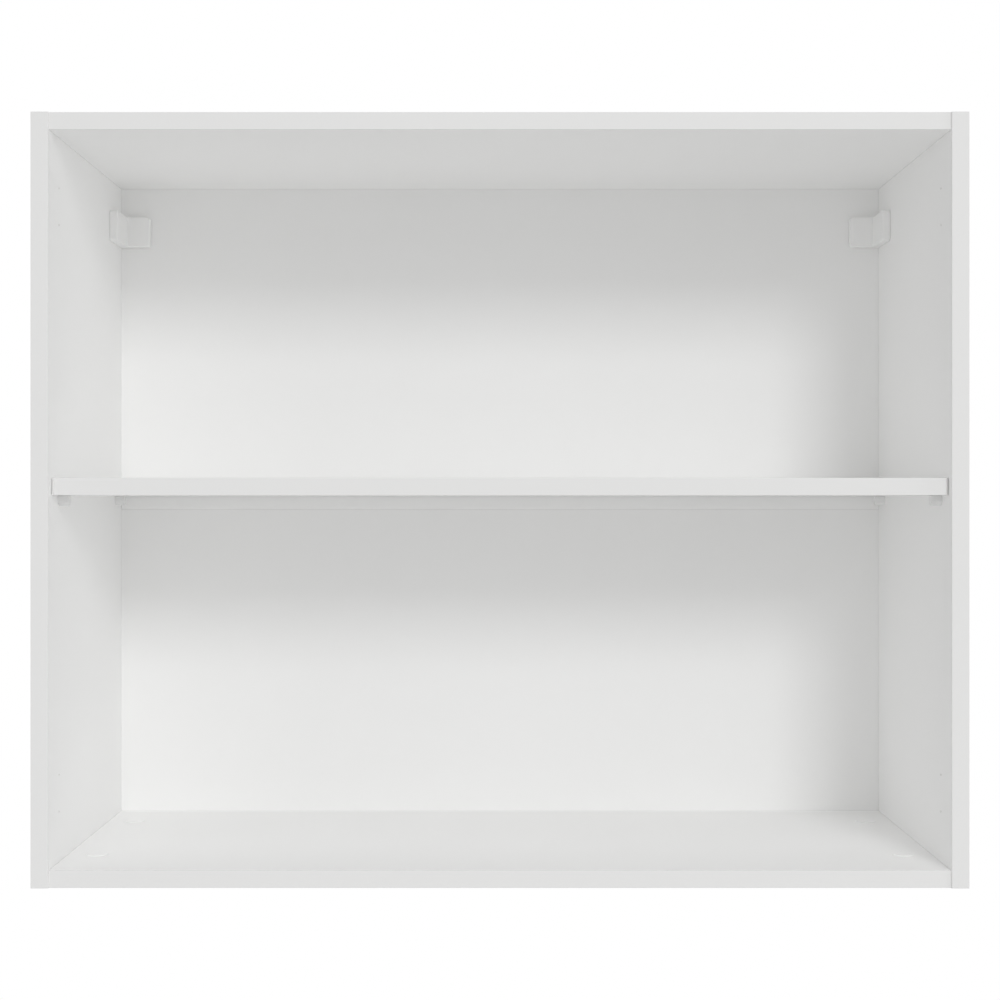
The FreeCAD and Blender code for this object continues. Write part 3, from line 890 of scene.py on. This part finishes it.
cut_end = 0.12 * MM
stations = [(-strip_side, cut_end), (-strip_side + cut_end, 0)]
stations += [(x, 0) for x in np.linspace(-strip_side, strip_side, 9)[1:-1]]
stations += [(strip_side - cut_end, 0), (strip_side, cut_end)]
build_piece(
    "back_joining_strip", [shell_from_rings(carried(h_outline, stations))], extruded_plastic,
    "carcass", "white_plastic", "back_joint_strip")

# %% [markdown]
# ## Shelf pegs
#
# The shelf rests on four moulded pegs. Each is a short rest with a flat top and a round belly,
# and a pin with four crush ribs that holds it in the side panel. The rest is an outline carried
# along X with its free end drawn in along a quarter circle. The pin is turned, with the ribs as
# narrow peaks of a cosine's high power on its radius.

# %% Pegs
peg_low, peg_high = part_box("left_shelf_supports")
peg_half = 5 * MM
peg_radii = np.array([1.2, 4.999, 4.999, 1.2]) * MM  # upper edges rounded, belly a half circle
peg_rows = (peg_low.y + peg_half, peg_high.y - peg_half)
peg_reach = peg_high.x + inner
pin_reach = -inner - peg_low.x
peg_axis = peg_low.z + peg_half


def peg_shells(side, y):
    """The rest and the pin of one peg, on the left (-1) or right (+1) side panel."""
    near, far = y - peg_half, y + peg_half
    corners = [(near, peg_high.z), (near, peg_low.z), (far, peg_low.z), (far, peg_high.z)]
    quarter = np.radians(np.linspace(0, 90, 8))
    nose = 0.9 * MM
    stations = [(0, 0), (peg_reach * 0.5, 0)]
    stations += [
        (peg_reach - nose + nose * math.sin(t), nose * (1 - math.cos(t)) * 0.49) for t in quarter]
    rest = carried(rounded_outline(corners, peg_radii, 14), stations)
    rest[..., 0] = side * (inner - rest[..., 0])
    around = 72
    along = np.array([0.02, 1.0, 6.8, 7.8, 8.3, 8.5]) * MM
    ribs = np.maximum(0, np.cos(4 * turns(around))) ** 6 * 0.2
    body_radius = np.array([2.25, 2.25, 2.2, 2.1, 1.8, 1.5])
    rib_share = np.array([1, 1, 1, 0.5, 0, 0])
    radius = (body_radius[:, None] + ribs * rib_share[:, None]) * MM
    pin = turned(along, radius, around, (side * inner, y, peg_axis), (side, 0, 0), UP)
    return [shell_from_rings(rest), shell_from_rings(pin)]


for side, name in ((-1, "left"), (1, "right")):
    shells = [shell for y in peg_rows for shell in peg_shells(side, y)]
    build_piece(
        f"{name}_shelf_pegs", shells, peg_plastic_shaded, "carcass", "white_plastic",
        f"{name}_shelf_supports")

# %% [markdown]
# ## Floor
#
# The cabinet hangs on a wall with its underside well above the floor. The floor is a plain pale
# plane with a faint cloudy tone. The front camera doesn't see it; it only bounces light up.

# %% A pale floor below
FLOOR_DROP, FLOOR_HALF, FLOOR_CELLS = 1.4, 3.0, 12


def pale_floor(name):
    """Smooth pale paint with soft clouds and a fine roller grain."""
    finish = Finish(name)
    clouds = finish.noise(0.8, 4.0, 0.55)
    grain = finish.noise(260.0, 2.0, 0.5)
    colour = finish.mix(clouds, (0.76, 0.76, 0.755), (0.82, 0.82, 0.82))
    return finish.done(colour, 0.55 + grain * 0.15, finish.bump(grain, 0.3, 0.1 * MM))


steps = np.linspace(-FLOOR_HALF, FLOOR_HALF, FLOOR_CELLS + 1)
floor_x, floor_y = np.meshgrid(steps, steps, indexing="ij")
floor_z = np.full_like(floor_x, bottom_low - FLOOR_DROP)
floor_points = np.stack([floor_x, floor_y, floor_z], -1).reshape(-1, 3)
i, j = np.meshgrid(np.arange(FLOOR_CELLS), np.arange(FLOOR_CELLS), indexing="ij")
here, beyond = i * (FLOOR_CELLS + 1) + j, (i + 1) * (FLOOR_CELLS + 1) + j
floor_faces = np.stack([here, beyond, beyond + 1, here + 1], -1).reshape(-1, 4)
floor_mesh = bpy.data.meshes.new("pale_floor")
floor_mesh.from_pydata(floor_points.tolist(), [], floor_faces.tolist())
floor_mesh.materials.append(pale_floor("pale_floor"))
floor = placed("pale_floor", floor_mesh)
print("floor", 2 * FLOOR_HALF, "m square,", FLOOR_DROP, "m below the cabinet")

# %% [markdown]
# ## Camera
#
# The camera stands straight in front at half height, so the side panels' inner faces open
# evenly to both sides. The lens leaves a narrow white margin at each side of the front.

# %% Straight in front
CAMERA_DISTANCE, LENS, SENSOR = 1.477, 62.42, 36
camera_data = bpy.data.cameras.new("front_camera")
camera_data.lens, camera_data.sensor_width = LENS, SENSOR
camera_data.clip_start, camera_data.clip_end = 0.01, 100
camera = placed("front_camera", camera_data)
camera.location = (0, front - CAMERA_DISTANCE, middle)
camera.rotation_euler = (math.radians(90), 0, 0)
bpy.context.scene.camera = camera
print("camera at", [round(v, 3) for v in camera.location])

# %% [markdown]
# ## Soft studio light
#
# Large soft boxes stand round the cabinet, each given by the direction it shines from, its size
# and its brightness. The key comes from the upper right, so a soft shadow falls under the top,
# under the shelf and along the right side. Area lights take a power in watts: brightness times
# area times pi gives the same brightness at any size. The camera sees the world as plain white,
# while the cabinet is lit by a dimmer one.

# %% Soft boxes and surroundings
FAR = 30.0
SOFT_BOXES = [  # name, degrees to the right, degrees up, distance, width, height, brightness
    ("key", 14, 25, FAR, 7.0, 7.0, 11.0),
    ("key_glow", 14, 30, FAR, 17.5, 22.0, 0.8),
    ("overhead", 2, 60, FAR, 11.0, 11.0, 2.25),
    ("right_side", 70, 0, FAR, 10.5, 10.5, 2.7),
    ("right_front", 45, 0, FAR, 10.5, 10.5, 0.3),
    ("left_side", -70, 0, FAR, 10.5, 10.5, 0.4),
    ("left_front", -45, 10, FAR, 10.5, 17.5, 0.7),
    ("low_card", 0, -25, 3.0, 5.0, 1.0, 0.3),
    ("behind", 195, 25, 6.0, 4.0, 3.0, 2.5),
]
AMBIENT = 0.46
WHITE = (1, 1, 1, 1)
centre = np.array([0, (cad_low.y + cad_high.y) / 2, middle])
for name, azimuth, elevation, distance, wide, tall, brightness in SOFT_BOXES:
    a, e = math.radians(azimuth), math.radians(elevation)
    way = np.array([math.sin(a) * math.cos(e), -math.cos(a) * math.cos(e), math.sin(e)])
    data = bpy.data.lights.new(name + "_soft_box", "AREA")
    data.shape, data.size, data.size_y = "RECTANGLE", wide, tall
    data.energy = brightness * wide * tall * math.pi
    lamp = placed(name + "_soft_box", data)
    lamp.location = centre + way * distance
    lamp.rotation_euler = (math.radians(90) - e, 0, a)
    lamp.visible_camera = False

world = bpy.data.worlds.new("white_studio")
bpy.context.scene.world = world
world.use_nodes = True
tree = world.node_tree
tree.nodes.clear()
surroundings, seen, either, path, output = (tree.nodes.new(kind) for kind in (
    "ShaderNodeBackground", "ShaderNodeBackground", "ShaderNodeMixShader", "ShaderNodeLightPath",
    "ShaderNodeOutputWorld"))
for background, strength in ((surroundings, AMBIENT), (seen, 1.0)):
    background.inputs["Color"].default_value = WHITE
    background.inputs["Strength"].default_value = strength
tree.links.new(path.outputs["Is Camera Ray"], either.inputs[0])
tree.links.new(surroundings.outputs[0], either.inputs[1])
tree.links.new(seen.outputs[0], either.inputs[2])
tree.links.new(either.outputs[0], output.inputs["Surface"])

ALL_BOUNCES, DIFFUSE_BOUNCES = 16, 12
scene = bpy.context.scene
scene.view_settings.view_transform = "Standard"
scene.cycles.max_bounces = ALL_BOUNCES
scene.cycles.diffuse_bounces = DIFFUSE_BOUNCES
print(len(SOFT_BOXES), "soft boxes and surroundings of", AMBIENT)
